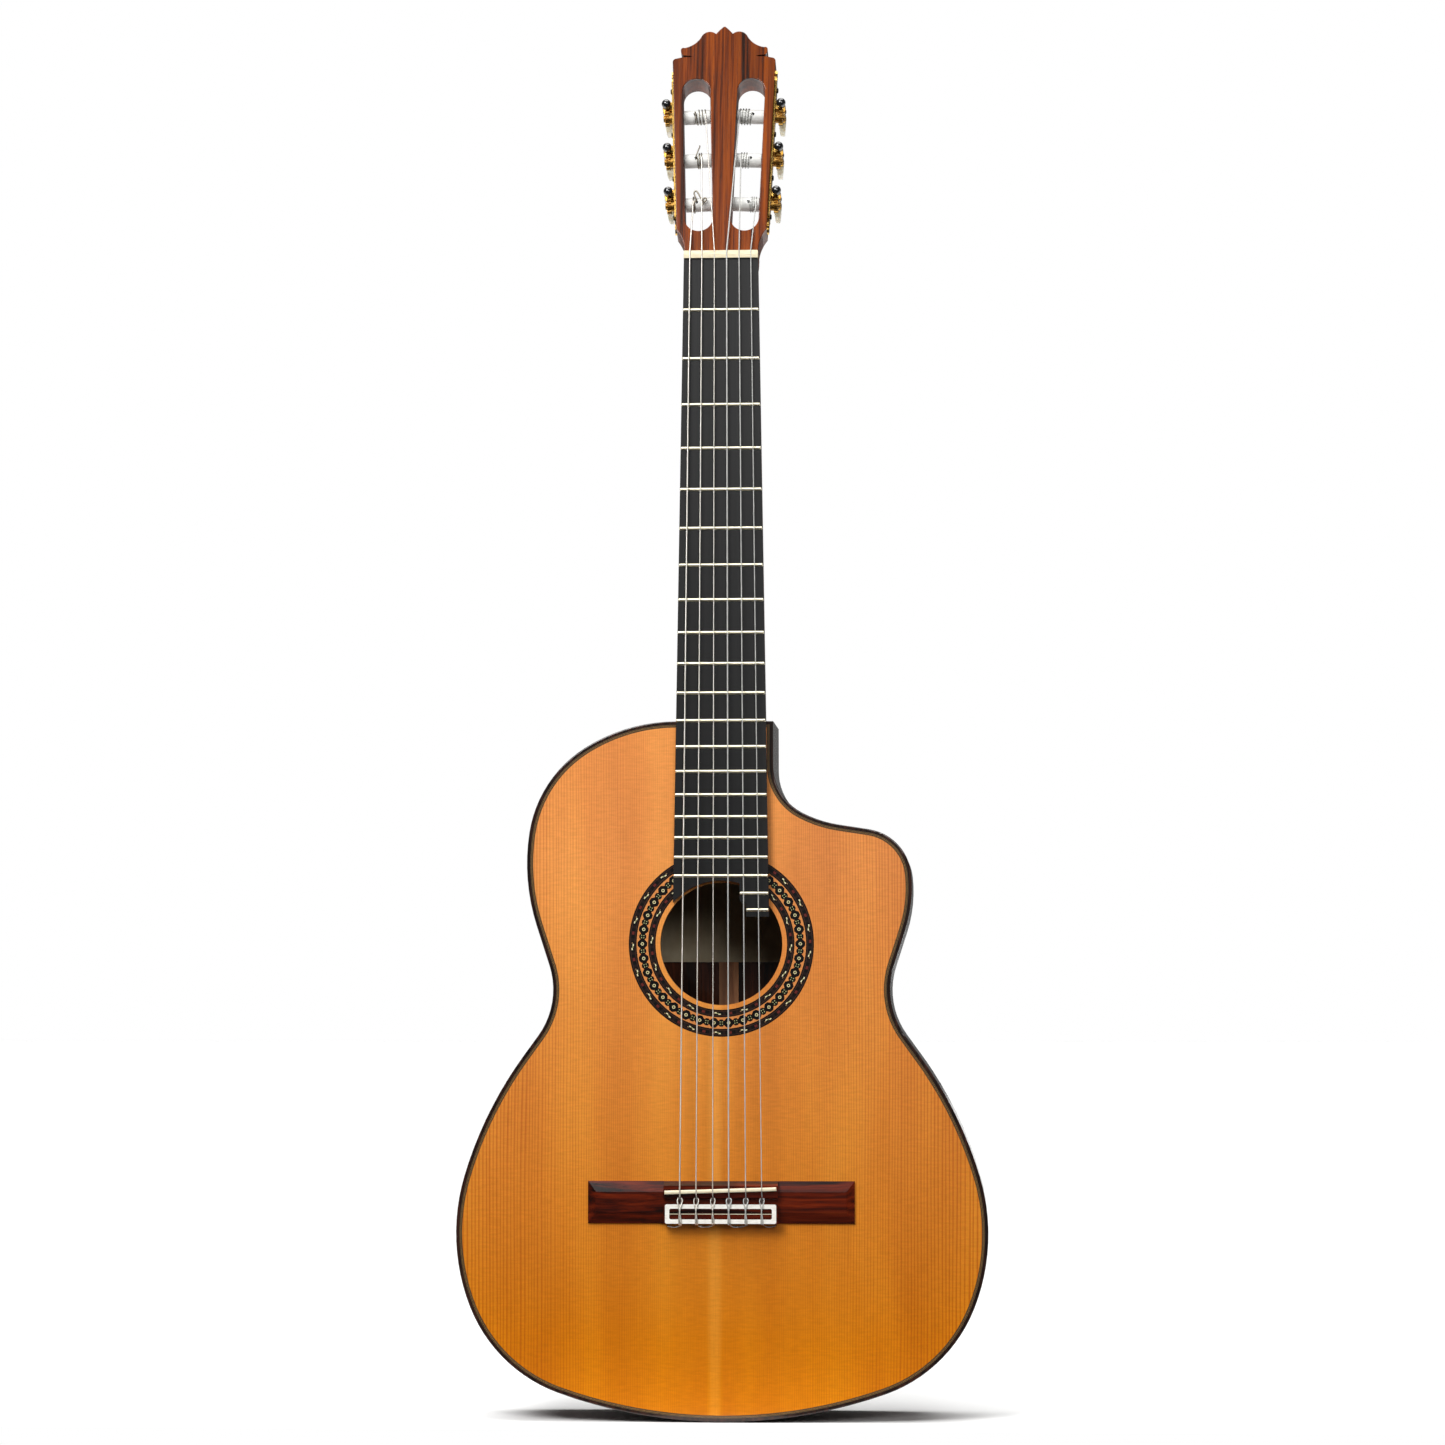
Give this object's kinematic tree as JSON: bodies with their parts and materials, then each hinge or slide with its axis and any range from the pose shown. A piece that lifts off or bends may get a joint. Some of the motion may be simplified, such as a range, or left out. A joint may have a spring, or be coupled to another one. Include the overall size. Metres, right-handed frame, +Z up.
{
  "type": "classical guitar",
  "caption": "Cutaway classical guitar with a slotted headstock, geared tuning machines, an inlaid soundhole ring and a tie-block bridge.",
  "frame": {"origin": "on the centre line, in the plane of the soundboard's face, at the front of the nut", "axes": "+Z up along the neck towards the headstock, -Y out of the soundboard towards the player's audience, +X towards the treble side and its cutaway"},
  "size_m": [0.3694, 0.1146, 0.9856],
  "materials": {
    "soundboard": "glossy lacquered cedar",
    "rosette": "inlaid wood mosaic under lacquer",
    "purfling": "fine dark and light inlaid lines",
    "binding": "glossy lacquered rosewood",
    "back_rosewood": "glossy lacquered rosewood",
    "side_rosewood": "glossy lacquered rosewood",
    "inner_cedar": "bare sanded cedar",
    "inner_spruce": "bare sanded spruce",
    "neck_cedar": "satin lacquered cedar",
    "head_rosewood": "glossy lacquered rosewood veneer",
    "fingerboard_ebony": "oiled ebony",
    "fret_wire": "polished nickel silver",
    "nut_bone": "polished bone",
    "saddle_bone": "polished bone",
    "bridge_rosewood": "polished dark rosewood",
    "frame_bone": "polished bone inlay",
    "plate_gold": "polished gold plating",
    "screw_black": "blackened steel",
    "worm_gold": "polished gold plating",
    "wheel_brass": "machined brass",
    "button_pearl": "cream pearl plastic",
    "roller_white": "white plastic sleeve",
    "nylon": "clear nylon",
    "wound_silver": "silver-plated winding over nylon floss"
  },
  "bodies": {
    "guitar": {"soundboard_bass": "soundboard", "soundboard_treble": "soundboard", "rosette": "rosette", "purfling_top": "purfling", "binding_top": "binding", "binding_back": "binding", "back_bass": "back_rosewood", "back_treble": "back_rosewood", "back_centre_strip": "inner_cedar", "back_braces": "inner_cedar", "rib_bass": "side_rosewood", "rib_treble": "side_rosewood", "tail_graft": "binding", "linings": "inner_cedar", "tail_block": "neck_cedar", "soundboard_braces": "inner_spruce", "soundhole_doubler": "inner_spruce", "neck": "neck_cedar", "heel_cap": "back_rosewood", "headstock_plate": "head_rosewood", "fingerboard": "fingerboard_ebony", "frets": "fret_wire", "nut": "nut_bone", "saddle": "saddle_bone", "bridge": "bridge_rosewood", "tie_block_frame": "frame_bone", "tuner_plates": "plate_gold", "plate_screws": "screw_black", "string_1": "nylon", "string_2": "nylon", "string_3": "nylon", "string_4": "wound_silver", "string_5": "wound_silver", "string_6": "wound_silver"},
    "knob_1": {"tuner_worm_1": "worm_gold", "tuner_button_1": "button_pearl"},
    "roller_1": {"string_roller_1": "roller_white", "tuner_wheel_1": "wheel_brass"},
    "knob_2": {"tuner_worm_2": "worm_gold", "tuner_button_2": "button_pearl"},
    "roller_2": {"string_roller_2": "roller_white", "tuner_wheel_2": "wheel_brass"},
    "knob_3": {"tuner_worm_3": "worm_gold", "tuner_button_3": "button_pearl"},
    "roller_3": {"string_roller_3": "roller_white", "tuner_wheel_3": "wheel_brass"},
    "knob_4": {"tuner_worm_4": "worm_gold", "tuner_button_4": "button_pearl"},
    "roller_4": {"string_roller_4": "roller_white", "tuner_wheel_4": "wheel_brass"},
    "knob_5": {"tuner_worm_5": "worm_gold", "tuner_button_5": "button_pearl"},
    "roller_5": {"string_roller_5": "roller_white", "tuner_wheel_5": "wheel_brass"},
    "knob_6": {"tuner_worm_6": "worm_gold", "tuner_button_6": "button_pearl"},
    "roller_6": {"string_roller_6": "roller_white", "tuner_wheel_6": "wheel_brass"}
  },
  "joints": [
    {"name": "knob_1_turn", "type": "hinge", "parent": "guitar", "child": "knob_1", "pos_m": [0.03822, 0.01949, 0.04877], "axis": [0, -0.9659, 0.2588], "continuous": true},
    {"name": "roller_1_turn", "type": "hinge", "parent": "guitar", "child": "roller_1", "pos_m": [0.03263, 0.01758, 0.04163], "axis": [0.9993, -0.0098, -0.0366], "continuous": true},
    {"name": "knob_2_turn", "type": "hinge", "parent": "guitar", "child": "knob_2", "pos_m": [0.03952, 0.02836, 0.08188], "axis": [0, -0.9659, 0.2588], "continuous": true},
    {"name": "roller_2_turn", "type": "hinge", "parent": "guitar", "child": "roller_2", "pos_m": [0.03393, 0.02645, 0.07474], "axis": [0.9993, -0.0098, -0.0366], "continuous": true},
    {"name": "knob_3_turn", "type": "hinge", "parent": "guitar", "child": "knob_3", "pos_m": [0.04081, 0.03723, 0.11498], "axis": [0, -0.9659, 0.2588], "continuous": true},
    {"name": "roller_3_turn", "type": "hinge", "parent": "guitar", "child": "roller_3", "pos_m": [0.03523, 0.03532, 0.10785], "axis": [0.9993, -0.0098, -0.0366], "continuous": true},
    {"name": "knob_4_turn", "type": "hinge", "parent": "guitar", "child": "knob_4", "pos_m": [-0.04081, 0.03723, 0.11498], "axis": [0, -0.9659, 0.2588], "continuous": true},
    {"name": "roller_4_turn", "type": "hinge", "parent": "guitar", "child": "roller_4", "pos_m": [-0.03523, 0.03532, 0.10785], "axis": [-0.9993, -0.0098, -0.0366], "continuous": true},
    {"name": "knob_5_turn", "type": "hinge", "parent": "guitar", "child": "knob_5", "pos_m": [-0.03952, 0.02836, 0.08188], "axis": [0, -0.9659, 0.2588], "continuous": true},
    {"name": "roller_5_turn", "type": "hinge", "parent": "guitar", "child": "roller_5", "pos_m": [-0.03393, 0.02645, 0.07474], "axis": [-0.9993, -0.0098, -0.0366], "continuous": true},
    {"name": "knob_6_turn", "type": "hinge", "parent": "guitar", "child": "knob_6", "pos_m": [-0.03822, 0.01949, 0.04877], "axis": [0, -0.9659, 0.2588], "continuous": true},
    {"name": "roller_6_turn", "type": "hinge", "parent": "guitar", "child": "roller_6", "pos_m": [-0.03263, 0.01758, 0.04163], "axis": [-0.9993, -0.0098, -0.0366], "continuous": true}
  ],
  "couplings": [
    {"joint": "roller_1_turn", "follows": "knob_1_turn", "ratio": -0.0625},
    {"joint": "roller_2_turn", "follows": "knob_2_turn", "ratio": -0.0625},
    {"joint": "roller_3_turn", "follows": "knob_3_turn", "ratio": -0.0625},
    {"joint": "roller_4_turn", "follows": "knob_4_turn", "ratio": -0.0625},
    {"joint": "roller_5_turn", "follows": "knob_5_turn", "ratio": -0.0625},
    {"joint": "roller_6_turn", "follows": "knob_6_turn", "ratio": -0.0625}
  ]
}
